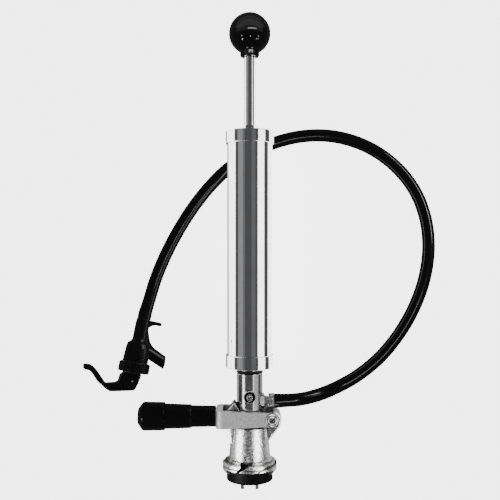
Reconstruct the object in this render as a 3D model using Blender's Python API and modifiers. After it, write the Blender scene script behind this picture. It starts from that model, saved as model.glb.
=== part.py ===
"""Beer keg hand air pump on a lever-handle keg coupler, with a beer hose and a squeeze faucet.

The pump lies on its back on a table. The pump frame has +Y along the pump's axis towards the knob,
+X towards the beer outlet and +Z up from the table. Its origin is the flat face of the ball retainer
at the probe's tip. Lengths below are in millimetres; MM turns them into Blender's metres.
"""
import math

import bmesh
import bpy
from mathutils import Vector

MM = 0.001
GAP = 0.3                     # clearance between pieces that touch

# Pump
TUBE_R = 19.05
TUBE_WALL = 1.15
CAP_R = 20.3
TUBE_FOOT = 101.7             # where the cylinder starts, on the foot's floor
TUBE_TOP = 293.3
FOOT_Y = 98.0                 # underside of the foot
FOOT_TOP = 108.9
HEAD_Y = 287.0                # underside of the head
HEAD_TOP = 297.5
CAP_SKIN_R = 19.4             # inside of the caps' skirts
ROD_R = 4.75
ROD_SHOULDER = 174.0          # the piston hangs below this shoulder
STUD_R = 3.0
STUD_END = 162.0
KNOB_R = 17.5
KNOB_Y = 380.4
KNOB_FOOT = 359.8

# Neck and probe
NECK_R = 10.95
NECK_TOP = 93.3
PORT_R = 6.5                  # holes that the base nipple passes through
CAM_HALF = 2.65               # half the height of the cam groove
CAM_FLOOR_R = 8.6
OUTLET_Y = 69.6
RELIEF_Y = 75.5
GAS_WAY_Z = 6.3               # the gas drilling runs beside the beer way

# Coupler body
BORE_R = 11.3
BARREL_TOP = 48.9
LUG_R = 22.8
LUG_LOW = 14.2                # the lugs' lower edge at the gaps between them
SEAL_R = 19.5
SLOT_ANGLE = math.radians(38.0)
SIDES = (("front", 1, 0.0), ("back", -1, math.pi))

# Lever
PIVOT_X = 18.6
PIVOT_Y = 56.6
ARM_IN = 12.6                 # the fork's arms lie between these distances from the middle
ARM_OUT = 16.5
BRIDGE_IN = -22.8
BRIDGE_OUT = -28.3
PIN_R = 2.25

# Hose, faucet and table
HOSE_R = 5.6
HOSE_SPACING = 18.0
TILT = math.radians(1.8)      # the knob's end lies higher, on the hose
TABLE_Z = LUG_LOW * math.sin(TILT) - LUG_R * math.cos(TILT)
FAUCET_AT = (-99.7, 96.3)
FAUCET_HEIGHT = 13.6
FAUCET_TURN = math.radians(10.0)
FAUCET_DIP = math.radians(6.0)
FAUCET_ROLL = math.radians(18.0)
NUT_R = 13.4
SHANK_END = 42.0

# The hose's route from the outlet to the faucet: x, y and height of its middle above the table.
HOSE_ROUTE = [
    (20.2, 69.6, 24.5), (25.0, 69.6, 24.5), (39.5, 70.1, 22.6), (50.0, 71.2, 18.6), (63.0, 73.9, 12.6),
    (77.0, 79.0, 7.8), (90.5, 86.0, 5.9), (103.0, 94.8, 5.6), (114.0, 104.5, 5.6), (123.5, 115.2, 5.6),
    (132.2, 127.0, 5.6), (139.8, 139.6, 5.6), (146.2, 152.8, 5.6), (151.4, 167.0, 5.6),
    (155.0, 182.0, 5.6), (156.8, 198.0, 5.6), (156.2, 214.4, 5.6), (153.0, 230.8, 5.6),
    (147.0, 246.4, 5.6), (138.0, 260.7, 5.6), (126.4, 273.2, 5.6), (112.8, 283.6, 5.6),
    (97.7, 291.4, 5.6), (81.5, 296.5, 5.6), (65.0, 298.8, 5.6), (48.4, 298.3, 5.6), (32.0, 295.3, 5.6),
    (15.5, 289.8, 5.6), (-2.5, 280.9, 5.6), (-19.0, 269.5, 5.6), (-33.4, 255.6, 5.6),
    (-45.6, 240.8, 5.6), (-55.8, 226.0, 5.6), (-64.4, 211.6, 5.6), (-71.8, 197.4, 5.6),
    (-78.0, 183.6, 5.6), (-83.2, 169.8, 5.7), (-86.9, 157.0, 6.8), (-90.8, 143.6, 8.6),
    (-92.0, 137.8, 9.2),
]

CHROME = ((0.78, 0.78, 0.80), 0.12, 1.0)
STEEL = ((0.62, 0.62, 0.63), 0.30, 1.0)
BRASS = ((0.72, 0.55, 0.28), 0.30, 1.0)
CAST = ((0.55, 0.55, 0.55), 0.50, 1.0)
RUBBER = ((0.02, 0.02, 0.02), 0.60, 0.0)
GLOSS_BLACK = ((0.01, 0.01, 0.01), 0.12, 0.0)
MATT_BLACK = ((0.015, 0.015, 0.015), 0.40, 0.0)


# ---------------------------------------------------------------- scene helpers

def clear_scene():
    for old in list(bpy.data.objects):
        bpy.data.objects.remove(old, do_unlink=True)


def collection(name):
    made = bpy.data.collections.new(name)
    bpy.context.scene.collection.children.link(made)
    return made


clear_scene()
PARTS = collection("keg_hand_pump")
CUTTERS = collection("cutters")


def material(name, finish):
    colour, roughness, metallic = finish
    made = bpy.data.materials.new(name)
    made.use_nodes = True
    shader = made.node_tree.nodes["Principled BSDF"]
    shader.inputs["Base Color"].default_value = (*colour, 1.0)
    shader.inputs["Roughness"].default_value = roughness
    shader.inputs["Metallic"].default_value = metallic
    return made


def frame(name, at=(0, 0, 0), rotation=(0, 0, 0), order="XYZ", parent=None):
    """An empty that carries pieces: the pump itself, the faucet, or a moving body's axis."""
    made = bpy.data.objects.new(name, None)
    PARTS.objects.link(made)
    made.location = Vector(at) * MM
    made.rotation_mode = order
    made.rotation_euler = rotation
    made.parent = parent
    return made


def place(piece, at, carrier):
    """Put a piece at a point of the pump's or the faucet's frame, under the empty that carries it."""
    offset = carrier.location if carrier.parent else Vector((0, 0, 0))
    piece.parent = carrier
    piece.location = Vector(at) * MM - offset


def add_object(name, data, carrier, at=(0, 0, 0), turn=(0, 0, 0), finish=None):
    """Link a new object; with a finish it is a part, without one it is a cutter."""
    made = bpy.data.objects.new(name, data)
    (PARTS if finish else CUTTERS).objects.link(made)
    place(made, at, carrier)
    made.rotation_euler = turn
    if finish:
        data.materials.append(material(name, finish))
    else:
        made.hide_render = True
        made.display_type = "WIRE"
    return made


def evaluated_mesh(piece):
    bpy.context.view_layer.update()
    graph = bpy.context.evaluated_depsgraph_get()
    return bpy.data.meshes.new_from_object(piece.evaluated_get(graph))


def bake(piece, sharp_degrees=32.0):
    """Apply a piece's modifiers and shade it smooth between its sharp edges."""
    mesh = evaluated_mesh(piece)
    piece.modifiers.clear()
    piece.data = mesh
    mesh.shade_smooth()
    mesh.set_sharp_from_angle(angle=math.radians(sharp_degrees))
    return piece


def mesh_from_curve(shape):
    """Turn a curve object into a closed mesh object in the same place."""
    mesh = evaluated_mesh(shape)
    welded = bmesh.new()
    welded.from_mesh(mesh)
    bmesh.ops.remove_doubles(welded, verts=welded.verts, dist=0.00001)
    bmesh.ops.recalc_face_normals(welded, faces=welded.faces)
    welded.to_mesh(mesh)
    welded.free()
    made = bpy.data.objects.new(shape.name, mesh)
    shape.users_collection[0].objects.link(made)
    made.parent = shape.parent
    made.location = shape.location
    made.rotation_euler = shape.rotation_euler
    made.hide_render = shape.hide_render
    made.display_type = shape.display_type
    name = shape.name
    bpy.data.objects.remove(shape, do_unlink=True)
    made.name = name
    return made


# ---------------------------------------------------------------- shape helpers

ALONG_X = (0, math.pi / 2, 0)
ALONG_Y = (-math.pi / 2, 0, 0)
ALONG_Z = (0, 0, 0)


def arc(centre_x, centre_y, radius, start, end, count):
    """Points on an arc, with angles in degrees."""
    points = []
    for i in range(count + 1):
        angle = math.radians(start + (end - start) * i / count)
        points.append((centre_x + radius * math.cos(angle), centre_y + radius * math.sin(angle)))
    return points


def turned(name, profile, carrier, turn=ALONG_Y, at=(0, 0, 0), steps=32, finish=None, loop=True):
    """A turned piece: profile is (radius, distance along the axis), down its outer side."""
    mesh = bpy.data.meshes.new(name)
    points = [(r * MM, 0, h * MM) for r, h in profile]
    edges = [(i, i + 1) for i in range(len(points) - 1)]
    if loop:
        edges.append((len(points) - 1, 0))
    mesh.from_pydata(points, edges, [])
    made = add_object(name, mesh, carrier, at, turn, finish)
    screw = made.modifiers.new("turn", "SCREW")
    screw.steps = steps
    screw.render_steps = steps
    screw.use_merge_vertices = True
    screw.merge_threshold = 0.00001
    return made


def cylinder(name, radius, start, end, carrier, turn=ALONG_Y, at=(0, 0, 0), sides=32, finish=None):
    """A cylinder along the turned axis, from start to end."""
    mesh = bpy.data.meshes.new(name)
    body = bmesh.new()
    bmesh.ops.create_cone(body, cap_ends=True, segments=sides, radius1=radius * MM, radius2=radius * MM,
                          depth=abs(end - start) * MM)
    bmesh.ops.translate(body, verts=body.verts, vec=(0, 0, (start + end) / 2 * MM))
    body.to_mesh(mesh)
    body.free()
    return add_object(name, mesh, carrier, at, turn, finish)


def box(name, low, high, carrier, at=(0, 0, 0), turn=(0, 0, 0), finish=None):
    """A box between two corners, about the point at."""
    mesh = bpy.data.meshes.new(name)
    body = bmesh.new()
    bmesh.ops.create_cube(body, size=1.0)
    size = [(h - l) * MM for l, h in zip(low, high)]
    middle = [(h + l) / 2 * MM for l, h in zip(low, high)]
    bmesh.ops.scale(body, verts=body.verts, vec=size)
    bmesh.ops.translate(body, verts=body.verts, vec=middle)
    body.to_mesh(mesh)
    body.free()
    return add_object(name, mesh, carrier, at, turn, finish)


def ball(name, radius, at, carrier, finish):
    mesh = bpy.data.meshes.new(name)
    body = bmesh.new()
    bmesh.ops.create_uvsphere(body, u_segments=16, v_segments=10, radius=radius * MM)
    body.to_mesh(mesh)
    body.free()
    return add_object(name, mesh, carrier, at, finish=finish)


def prism(name, outline, half, carrier, at=(0, 0, 0), turn=(0, 0, 0), finish=None):
    """A flat outline in the XY plane, extruded by half to either side of it."""
    curve = bpy.data.curves.new(name, "CURVE")
    curve.dimensions = "2D"
    curve.fill_mode = "BOTH"
    curve.extrude = half * MM
    spline = curve.splines.new("POLY")
    spline.points.add(len(outline) - 1)
    for point, (x, y) in zip(spline.points, outline):
        point.co = (x * MM, y * MM, 0, 1)
    spline.use_cyclic_u = True
    return mesh_from_curve(add_object(name, curve, carrier, at, turn, finish))


def wire(name, points, radius, carrier, at=(0, 0, 0), turn=(0, 0, 0), finish=None, resolution=2):
    """A round wire, tube or hose through points, with its ends closed."""
    curve = bpy.data.curves.new(name, "CURVE")
    curve.dimensions = "3D"
    curve.bevel_depth = radius * MM
    curve.bevel_resolution = resolution
    curve.use_fill_caps = True
    spline = curve.splines.new("POLY")
    spline.points.add(len(points) - 1)
    for point, place_mm in zip(spline.points, points):
        point.co = (*(Vector(place_mm) * MM), 1)
    return mesh_from_curve(add_object(name, curve, carrier, at, turn, finish))


def coil(name, radius, wire_r, start, end, turns, carrier, turn, at, finish):
    """A compression spring along the turned axis, from start to end."""
    per_turn = 8
    count = turns * per_turn
    low = start + wire_r
    high = end - wire_r
    points = []
    for i in range(count + 1):
        angle = 2 * math.pi * i / per_turn
        points.append((radius * math.cos(angle), radius * math.sin(angle), low + (high - low) * i / count))
    return wire(name, points, wire_r, carrier, at, turn, finish, resolution=1)


def combine(piece, tool, operation):
    change = piece.modifiers.new(tool.name, "BOOLEAN")
    change.operation = operation
    change.solver = "EXACT"
    change.object = tool


def cut(piece, *tools):
    for tool in tools:
        combine(piece, tool, "DIFFERENCE")


def join(piece, *tools):
    for tool in tools:
        combine(piece, tool, "UNION")


# ---------------------------------------------------------------- pump cylinder

def knob(rod):
    side = math.degrees(math.acos(8.1 / KNOB_R))
    profile = arc(0, KNOB_Y, KNOB_R, 90, -side, 10)
    profile += [(8.1, KNOB_FOOT + 1.6), (7.5, KNOB_FOOT + 0.4), (6.4, KNOB_FOOT), (ROD_R + GAP, KNOB_FOOT),
                (ROD_R + GAP, 373.0), (0, 373.0)]
    bake(turned("knob", profile, rod, steps=28, finish=GLOSS_BLACK, loop=False))


def pump_rod(rod):
    profile = [(0, 372.7), (4.3, 372.7), (ROD_R, 372.2), (ROD_R, ROD_SHOULDER), (STUD_R, ROD_SHOULDER),
               (STUD_R, STUD_END + 0.5), (2.5, STUD_END), (0, STUD_END)]
    bake(turned("pump_rod", profile, rod, steps=20, finish=CHROME, loop=False))


def piston(rod):
    """Cup seal between two washers, clamped by a nut on the rod's stud."""
    hole = STUD_R + GAP
    bake(turned("piston_top_washer", [(15.0, 173.7), (15.0, 172.3), (hole, 172.3), (hole, 173.7)],
                rod, steps=20, finish=STEEL))
    cup = [(16.8, 172.0), (17.6, 171.2), (17.6, 163.5), (16.4, 163.5), (16.0, 170.0), (hole, 170.0),
           (hole, 172.0)]
    bake(turned("piston_cup", cup, rod, steps=24, finish=RUBBER))
    bake(turned("piston_bottom_washer", [(15.2, 169.7), (15.2, 168.3), (hole, 168.3), (hole, 169.7)],
                rod, steps=20, finish=STEEL))
    nut = cylinder("piston_nut", 5.8, 164.0, 168.0, rod, sides=6, finish=STEEL)
    cut(nut, cylinder("piston_nut_hole", hole, 163.0, 169.0, rod, sides=16))
    bake(nut)


def rod_bushing(pump):
    """Hexagonal guide bush screwed into the head."""
    bush = turned("rod_bushing", [(6.2, 301.9), (6.2, 291.0), (ROD_R + GAP, 291.0), (ROD_R + GAP, 301.9)],
                  pump, steps=20, finish=CHROME)
    hexagon = cylinder("rod_bushing_hexagon", 7.2, HEAD_TOP + GAP, 302.3, pump, sides=6)
    join(bush, hexagon)
    cut(bush, cylinder("rod_bushing_bore", ROD_R + GAP, 290.0, 303.0, pump, sides=18))
    bake(bush)


def caps(pump):
    head = [(CAP_R - 0.6, HEAD_TOP), (CAP_R, HEAD_TOP - 0.6), (CAP_R, HEAD_Y + 0.3), (CAP_R - 0.3, HEAD_Y),
            (CAP_SKIN_R, HEAD_Y), (CAP_SKIN_R, TUBE_TOP + GAP), (PORT_R, TUBE_TOP + GAP), (PORT_R, HEAD_TOP)]
    bake(turned("top_cap", head, pump, steps=40, finish=CHROME))
    foot = [(CAP_R - 0.3, FOOT_TOP), (CAP_R, FOOT_TOP - 0.3), (CAP_R, FOOT_Y + 0.6), (CAP_R - 0.6, FOOT_Y),
            (PORT_R, FOOT_Y), (PORT_R, TUBE_FOOT - GAP), (CAP_SKIN_R, TUBE_FOOT - GAP), (CAP_SKIN_R, FOOT_TOP)]
    bake(turned("bottom_cap", foot, pump, steps=40, finish=CHROME))


def pump_tube(pump):
    inner = TUBE_R - TUBE_WALL
    profile = [(TUBE_R, TUBE_TOP), (TUBE_R, TUBE_FOOT), (inner, TUBE_FOOT), (inner, TUBE_TOP)]
    bake(turned("pump_tube", profile, pump, steps=40, finish=CHROME))


def pump_base(pump):
    """The hollow screw that holds the pump on the neck, its valve, the ring nut and the gasket."""
    nipple = [(9.0, 104.2), (9.0, TUBE_FOOT), (6.2, TUBE_FOOT), (6.2, 88.0), (2.9, 88.0), (2.9, 102.6),
              (4.8, 102.6), (4.8, 104.2)]
    bake(turned("base_nipple", nipple, pump, steps=20, finish=BRASS))
    duckbill = [(0, 92.4), (1.5, 96.5), (1.5, 104.0), (4.5, 104.0), (4.5, 102.9), (2.5, 102.9), (2.5, 96.0),
                (0.9, 91.2), (0, 91.0)]
    bake(turned("check_valve", duckbill, pump, steps=14, finish=RUBBER, loop=False))
    ring = [(10.3, 97.7), (10.7, 97.3), (10.7, 96.2), (10.3, 95.8), (PORT_R, 95.8), (PORT_R, 97.7)]
    bake(turned("base_lock_ring", ring, pump, steps=28, finish=CHROME))
    gasket = [(10.8, 95.5), (11.1, 94.9), (11.1, 94.2), (10.8, 93.6), (PORT_R, 93.6), (PORT_R, 95.5)]
    bake(turned("neck_gasket", gasket, pump, steps=28, finish=RUBBER))


# ---------------------------------------------------------------- neck, probe and valves

def probe(pump):
    """Neck and probe in one: beer way in the middle, gas drilling beside it, cam groove round it."""
    groove_low = PIVOT_Y - CAM_HALF
    groove_high = PIVOT_Y + CAM_HALF
    profile = [(NECK_R - 0.5, NECK_TOP), (NECK_R, NECK_TOP - 0.5), (NECK_R, groove_high),
               (CAM_FLOOR_R, groove_high), (CAM_FLOOR_R, groove_low), (NECK_R, groove_low), (NECK_R, 25.0),
               (10.0, 24.0), (10.0, 8.3), (7.4, 8.3), (7.4, 1.2), (5.0, 1.2), (5.0, 11.5), (3.6, 12.5),
               (3.6, 74.0), (0, 75.0)]
    top = [(0, 86.0), (PORT_R, 87.0), (PORT_R, NECK_TOP)]
    body = turned("probe", top + profile, pump, steps=28, finish=CHROME, loop=False)
    outlet = cylinder("probe_outlet_hole", 4.1, 0.0, 13.0, pump, ALONG_X, (0, OUTLET_Y, 0), 16)
    gas_way = cylinder("probe_gas_way", 1.1, 14.0, 90.0, pump, ALONG_Y, (0, 0, GAS_WAY_Z), 8)
    gas_port = cylinder("probe_gas_port", 1.0, GAS_WAY_Z, 12.0, pump, ALONG_Z, (0, 15.0, 0), 8)
    relief_hole = cylinder("probe_relief_hole", 3.6, GAS_WAY_Z, 13.0, pump, ALONG_Z, (0, RELIEF_Y, 0), 16)
    cut(body, outlet, gas_way, gas_port, relief_hole)
    bake(body)


def probe_tip(pump, float_frame):
    seal = [(9.8, 8.0), (10.6, 7.2), (10.6, 2.3), (9.8, 1.4), (7.7, 1.4), (7.7, 8.0)]
    bake(turned("probe_seal", seal, pump, steps=24, finish=RUBBER))
    bake(ball("beer_check_ball", 4.3, (0, 5.5, 0), float_frame, STEEL))
    retainer = cylinder("ball_retainer", 6.9, 0.0, 0.9, pump, sides=24, finish=STEEL)
    for i in range(4):
        angle = math.radians(45 + 90 * i)
        turn = (0, -angle, 0)
        join(retainer, box("ball_retainer_arm_%d" % i, (5.8, 0.1, -1.6), (8.6, 0.8, 1.6), pump, turn=turn))
        join(retainer, box("ball_retainer_prong_%d" % i, (8.0, -3.3, -1.5), (9.3, 0.7, 1.5), pump, turn=turn))
    for i in range(4):
        angle = math.radians(90 * i)
        at = (4.4 * math.cos(angle), 0, 4.4 * math.sin(angle))
        cut(retainer, cylinder("ball_retainer_hole_%d" % i, 1.6, -1.0, 2.0, pump, ALONG_Y, at, 8))
    bake(retainer)


def relief_valve(pump, plunger_frame):
    at = (0, RELIEF_Y, 0)
    body = [(4.3, 16.6), (4.7, 16.2), (4.7, 11.3), (3.3, 11.3), (3.3, 8.2), (1.7, 8.2), (1.7, 8.9),
            (2.7, 8.9), (2.7, 15.4), (1.5, 15.4), (1.5, 16.6)]
    bake(turned("relief_body", body, pump, ALONG_Z, at, 20, CHROME))
    plunger = [(0, 21.5), (1.7, 21.5), (2.4, 20.9), (2.4, 18.6), (1.9, 18.0), (1.2, 18.0), (1.2, 10.0),
               (2.3, 10.0), (2.3, 9.2), (0, 9.2)]
    bake(turned("relief_plunger", plunger, plunger_frame, ALONG_Z, at, 16, CHROME, loop=False))
    coil("relief_spring", 1.95, 0.28, 10.3, 15.1, 3, pump, ALONG_Z, at, STEEL)


def beer_outlet(pump):
    at = (0, OUTLET_Y, 0)
    nipple = [(2.6, 19.9), (3.2, 19.6), (3.2, 15.6)]
    for i in range(3):
        top = 15.6 - 1.5 * i
        nipple += [(4.1, top), (4.6, top - 0.4), (4.6, top - 1.0)]
    nipple += [(4.1, 11.1), (3.8, 11.1), (3.8, 5.5), (2.4, 5.5), (2.4, 19.9)]
    bake(turned("outlet_nipple", nipple, pump, ALONG_X, at, 18, CHROME))
    collar = [(6.2, 19.9), (6.6, 19.5), (6.6, 16.3), (6.2, 15.9), (3.5, 15.9), (3.5, 19.9)]
    bake(turned("hose_collar", collar, pump, ALONG_X, at, 20, STEEL))


# ---------------------------------------------------------------- coupler body

def coupler_body(coupler):
    """Cast body: barrel, twist-lock lugs, pivot ear on the right and latch tongue on the left."""
    profile = [(15.0, BARREL_TOP), (15.45, 48.4), (15.7, 43.0), (17.5, 21.6), (18.6, 21.4), (18.9, 21.0),
               (18.9, 19.8), (21.9, 19.8), (LUG_R, 18.9), (LUG_R, 17.0), (22.1, 16.3), (LUG_R, 15.6),
               (LUG_R, 12.6), (20.3, 9.9), (19.8, 9.9), (19.8, 14.3), (BORE_R - 1.0, 14.3),
               (BORE_R - 1.0, BARREL_TOP)]
    body = turned("coupler_body", profile, coupler, steps=40, finish=CAST)
    ear = [(5.0, 38.0), (5.0, 48.5), (14.0, 48.7)]
    ear += arc(20.6, 56.2, 5.9, 180, 0, 10)
    ear += [(25.6, 49.6), (17.2, 38.6)]
    tongue = [(-13.0, 33.0), (-15.8, 35.6), (-19.6, 45.3), (-19.9, 50.0), (-19.9, 61.3), (-13.2, 69.2),
              (-12.4, 69.2), (-4.0, 54.0), (-4.0, 40.0)]
    join(body, prism("coupler_ear", ear, 12.2, coupler), prism("coupler_tongue", tongue, 8.5, coupler))
    cut(body, cylinder("coupler_bore", BORE_R, 13.0, 75.0, coupler, sides=36))
    cut(body, cylinder("coupler_pivot_hole", 2.3, -14.0, 14.0, coupler, ALONG_Z, (PIVOT_X, PIVOT_Y, 0), 16))
    cut(body, cylinder("coupler_latch_hole", 3.4, -23.0, -5.0, coupler, ALONG_X, (0, PIVOT_Y, 0), 20))
    for name, side, flip in SIDES:
        gap = box("coupler_gap_" + name, (-19.4, 8.0, 10.0), (19.4, LUG_LOW, 24.0), coupler,
                  turn=(0, flip, 0))
        slot = box("coupler_slot_" + name, (-14.0, -2.2, 19.2), (14.0, 2.2, 24.0), coupler,
                   (-2.5 * side, 17.5, 0), (0, flip, side * SLOT_ANGLE))
        cut(body, gap, slot)
    bake(body)


def body_seal(coupler):
    seal = [(SEAL_R, 14.0), (SEAL_R, 4.4), (18.4, 3.4), (12.0, 3.4), (11.4, 4.0), (11.4, 14.0)]
    bake(turned("body_seal", seal, coupler, steps=32, finish=RUBBER))


# ---------------------------------------------------------------- lever and grip

def lever_fork(lever):
    """U-shaped fork: its plan, between its side outline's top and bottom edges."""
    plan = [(PIVOT_X + 8.0, ARM_OUT), (-22.3, ARM_OUT)]
    plan += arc(-22.3, ARM_OUT - 6.0, 6.0, 90, 180, 6)
    plan += arc(-22.3, 6.0 - ARM_OUT, 6.0, 180, 270, 6)
    plan += [(PIVOT_X + 8.0, -ARM_OUT), (PIVOT_X + 8.0, -ARM_IN)]
    plan += arc(-19.8, 3.0 - ARM_IN, 3.0, 270, 180, 4)
    plan += arc(-19.8, ARM_IN - 3.0, 3.0, 180, 90, 4)
    plan += [(PIVOT_X + 8.0, ARM_IN)]
    fork = prism("lever_fork", plan, 12.0, lever, (0, PIVOT_Y, 0), (math.pi / 2, 0, 0), CAST)
    side = [(-30.0, 63.6), (-30.0, 49.2), (-22.0, 49.2)]
    side += arc(PIVOT_X, PIVOT_Y, 5.5, -95, 85, 12)
    side += [(-22.0, 63.6)]
    combine(fork, prism("lever_fork_side", side, 20.0, lever), "INTERSECT")
    cut(fork, cylinder("lever_pivot_hole", 2.3, -20.0, 20.0, lever, ALONG_Z, (PIVOT_X, PIVOT_Y, 0), 16))
    cut(fork, cylinder("lever_cam_hole", PIN_R + GAP, -16.0, 16.0, lever, ALONG_Z, (0, PIVOT_Y, 0), 16))
    cut(fork, cylinder("lever_stem_hole", 5.6, -32.0, -20.0, lever, ALONG_X, (0, PIVOT_Y, 0), 24))
    bake(fork)


def lever_pins(coupler, lever):
    """Cam pins in the arms, and the two cross-head pivot screws in the coupler's ear."""
    pin = [(0, 15.7), (PIN_R - 0.3, 15.7), (PIN_R, 15.4), (PIN_R, 9.2), (PIN_R - 0.3, 8.9), (0, 8.9)]
    screw = [(0, 18.8), (3.0, 18.8), (3.7, 18.4), (4.0, 17.7), (4.0, 16.8), (2.0, 16.8), (2.0, 5.4),
             (1.6, 5.0), (0, 5.0)]
    at = (PIVOT_X, PIVOT_Y, 0)
    for name, _, flip in SIDES:
        turn = (flip, 0, 0)
        bake(turned("cam_pin_" + name, pin, lever, turn, (0, PIVOT_Y, 0), 12, STEEL, loop=False))
        made = turned("pivot_screw_" + name, screw, coupler, turn, at, 16, STEEL, loop=False)
        for i in range(2):
            cut(made, box("pivot_recess_%s_%d" % (name, i), (-2.2, -0.45, 17.6), (2.2, 0.45, 20.0), coupler,
                          at, (flip, 0, math.radians(45 + 90 * i))))
        bake(made)


def handle_inside(lever, grip):
    at = (0, PIVOT_Y, 0)
    stem = [(5.3, -23.1), (5.3, -72.0), (6.6, -72.0), (6.6, -74.0), (3.3, -74.0), (3.3, -23.1)]
    bake(turned("handle_stem", stem, lever, ALONG_X, at, 20, STEEL))
    coil("grip_spring", 6.15, 0.45, -71.6, -34.4, 7, lever, ALONG_X, at, STEEL)
    pin = [(0, -21.0), (2.4, -21.0), (3.0, -21.8), (3.0, -87.0), (0, -87.0)]
    bake(turned("latch_pin", pin, grip, ALONG_X, at, 16, STEEL, loop=False))


def grip_pieces(grip):
    at = (0, PIVOT_Y, 0)
    sleeve = [(8.2, -28.6), (8.8, -29.3), (9.1, -49.5), (9.7, -49.8), (10.0, -50.5), (10.5, -71.5),
              (7.0, -71.5), (7.0, -34.0), (5.6, -34.0), (5.6, -28.6)]
    bake(turned("grip_sleeve", sleeve, grip, ALONG_X, at, 24, MATT_BLACK))
    cap = [(0, -87.4), (3.3, -87.4), (3.3, -80.0), (7.3, -80.0), (7.3, -71.8), (11.4, -71.8),
           (12.0, -72.5), (12.0, -89.6)]
    cap += [(12.0 * math.cos(a), -89.6 - 4.9 * math.sin(a)) for a in (0.35, 0.7, 1.05, 1.35)]
    cap += [(0, -94.5)]
    bake(turned("grip_end_cap", cap, grip, ALONG_X, at, 24, MATT_BLACK, loop=False))


# ---------------------------------------------------------------- faucet

def faucet_body(faucet):
    """Body, shank, spout, web and finger hook in one moulding, with its chamber and ways."""
    profile = [(0, SHANK_END), (5.6, SHANK_END), (6.0, SHANK_END - 0.5), (6.3, 24.5), (7.3, 22.4),
               (9.9, 19.8), (11.05, 4.9), (10.2, 4.9), (10.2, -1.0), (0, -1.0)]
    body = turned("faucet_body", profile, faucet, steps=24, finish=MATT_BLACK, loop=False)
    along_spout = (0, math.pi / 2, math.radians(-23.0))
    mouth = (25.0, 8.3, 0)
    spout = cylinder("faucet_spout", 5.3, -20.0, 4.0, faucet, along_spout, mouth, 20)
    web = [(5.0, 33.5), (6.6, 31.0), (7.9, 26.5), (9.3, 23.7), (11.5, 21.0), (14.2, 18.9), (19.0, 16.7),
           (22.5, 14.9), (20.0, 9.5), (8.0, 12.0)]
    hook = [(4.5, 41.6), (14.0, 41.4), (15.4, 41.2), (16.1, 40.2), (15.4, 39.1), (14.2, 38.9),
            (11.6, 39.2), (8.4, 38.0), (5.0, 35.5)]
    join(body, spout, prism("faucet_web", web, 2.6, faucet), prism("faucet_hook", hook, 2.6, faucet))
    cut(body, box("faucet_mouth_plane", (25.0, -10.0, -10.0), (40.0, 25.0, 10.0), faucet))
    cut(body, cylinder("faucet_chamber", 8.2, -2.0, 16.5, faucet, sides=20))
    cut(body, cylinder("faucet_inlet", 3.2, 10.0, 44.0, faucet, sides=14))
    cut(body, cylinder("faucet_spout_bore", 3.7, -18.0, 6.0, faucet, along_spout, mouth, 16))
    bake(body)


def faucet_nut(faucet):
    """Ribbed ring nut that closes the body."""
    profile = [(12.6, 4.5), (NUT_R - 0.5, 4.0), (NUT_R - 0.5, -4.0), (12.0, -4.5), (2.6, -4.5), (2.6, -1.4),
               (10.5, -1.4), (10.5, 4.5)]
    nut = turned("faucet_nut", profile, faucet, steps=24, finish=MATT_BLACK)
    for i in range(12):
        angle = 2 * math.pi * i / 12
        rib = box("faucet_nut_rib_%02d" % i, (NUT_R - 2.0, -4.0, -0.9), (NUT_R, 3.8, 0.9), faucet,
                  turn=(0, angle, 0))
        join(nut, rib)
    bake(nut)


def faucet_inside(faucet, stem_frame):
    seal = [(0, 16.2), (4.6, 16.2), (5.4, 15.4), (5.4, 14.5), (0, 14.5)]
    bake(turned("faucet_seal", seal, stem_frame, steps=16, finish=RUBBER, loop=False))
    profile = [(0, 14.2), (5.2, 14.2), (5.2, 12.9), (2.0, 12.9), (2.0, -14.0), (0, -14.0)]
    stem = turned("faucet_stem", profile, stem_frame, steps=16, finish=MATT_BLACK, loop=False)
    cut(stem, cylinder("faucet_stem_eye", 0.9, -4.0, 4.0, stem_frame, ALONG_Z, (0, -11.5, 0), 12))
    bake(stem)
    pin = [(0, 5.3), (0.6, 5.3), (0.6, -5.3), (0, -5.3)]
    bake(turned("faucet_pin", pin, stem_frame, ALONG_Z, (0, -11.5, 0), 12, STEEL, loop=False))
    coil("faucet_spring", 4.2, 0.5, -1.0, 12.5, 4, faucet, ALONG_Y, (0, 0, 0), STEEL)


def faucet_lever(lever_frame):
    outline = [(-7.8, -4.9), (6.2, -4.9), (6.2, -6.1), (5.3, -12.3), (3.4, -18.0), (2.4, -19.0),
               (-14.5, -22.1), (-17.8, -22.5), (-20.3, -21.4), (-23.8, -19.0), (-27.9, -16.6),
               (-31.7, -12.5), (-34.8, -9.4), (-38.1, -8.0), (-41.6, -7.7), (-42.4, -7.0), (-42.6, -4.6),
               (-42.0, -3.9), (-37.4, -3.4), (-35.4, -4.2), (-31.1, -7.7), (-22.8, -16.0), (-21.0, -16.7),
               (-13.5, -15.1), (-10.9, -13.4), (-10.3, -7.9)]
    lever = prism("faucet_lever", outline, 5.5, lever_frame, finish=MATT_BLACK)
    cut(lever, box("faucet_lever_slot", (-4.6, -17.0, -2.6), (4.4, 0.0, 2.6), lever_frame))
    cut(lever, cylinder("faucet_lever_hole", 0.9, -7.0, 7.0, lever_frame, ALONG_Z, (0, -11.5, 0), 12))
    bake(lever)


# ---------------------------------------------------------------- hose

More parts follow.
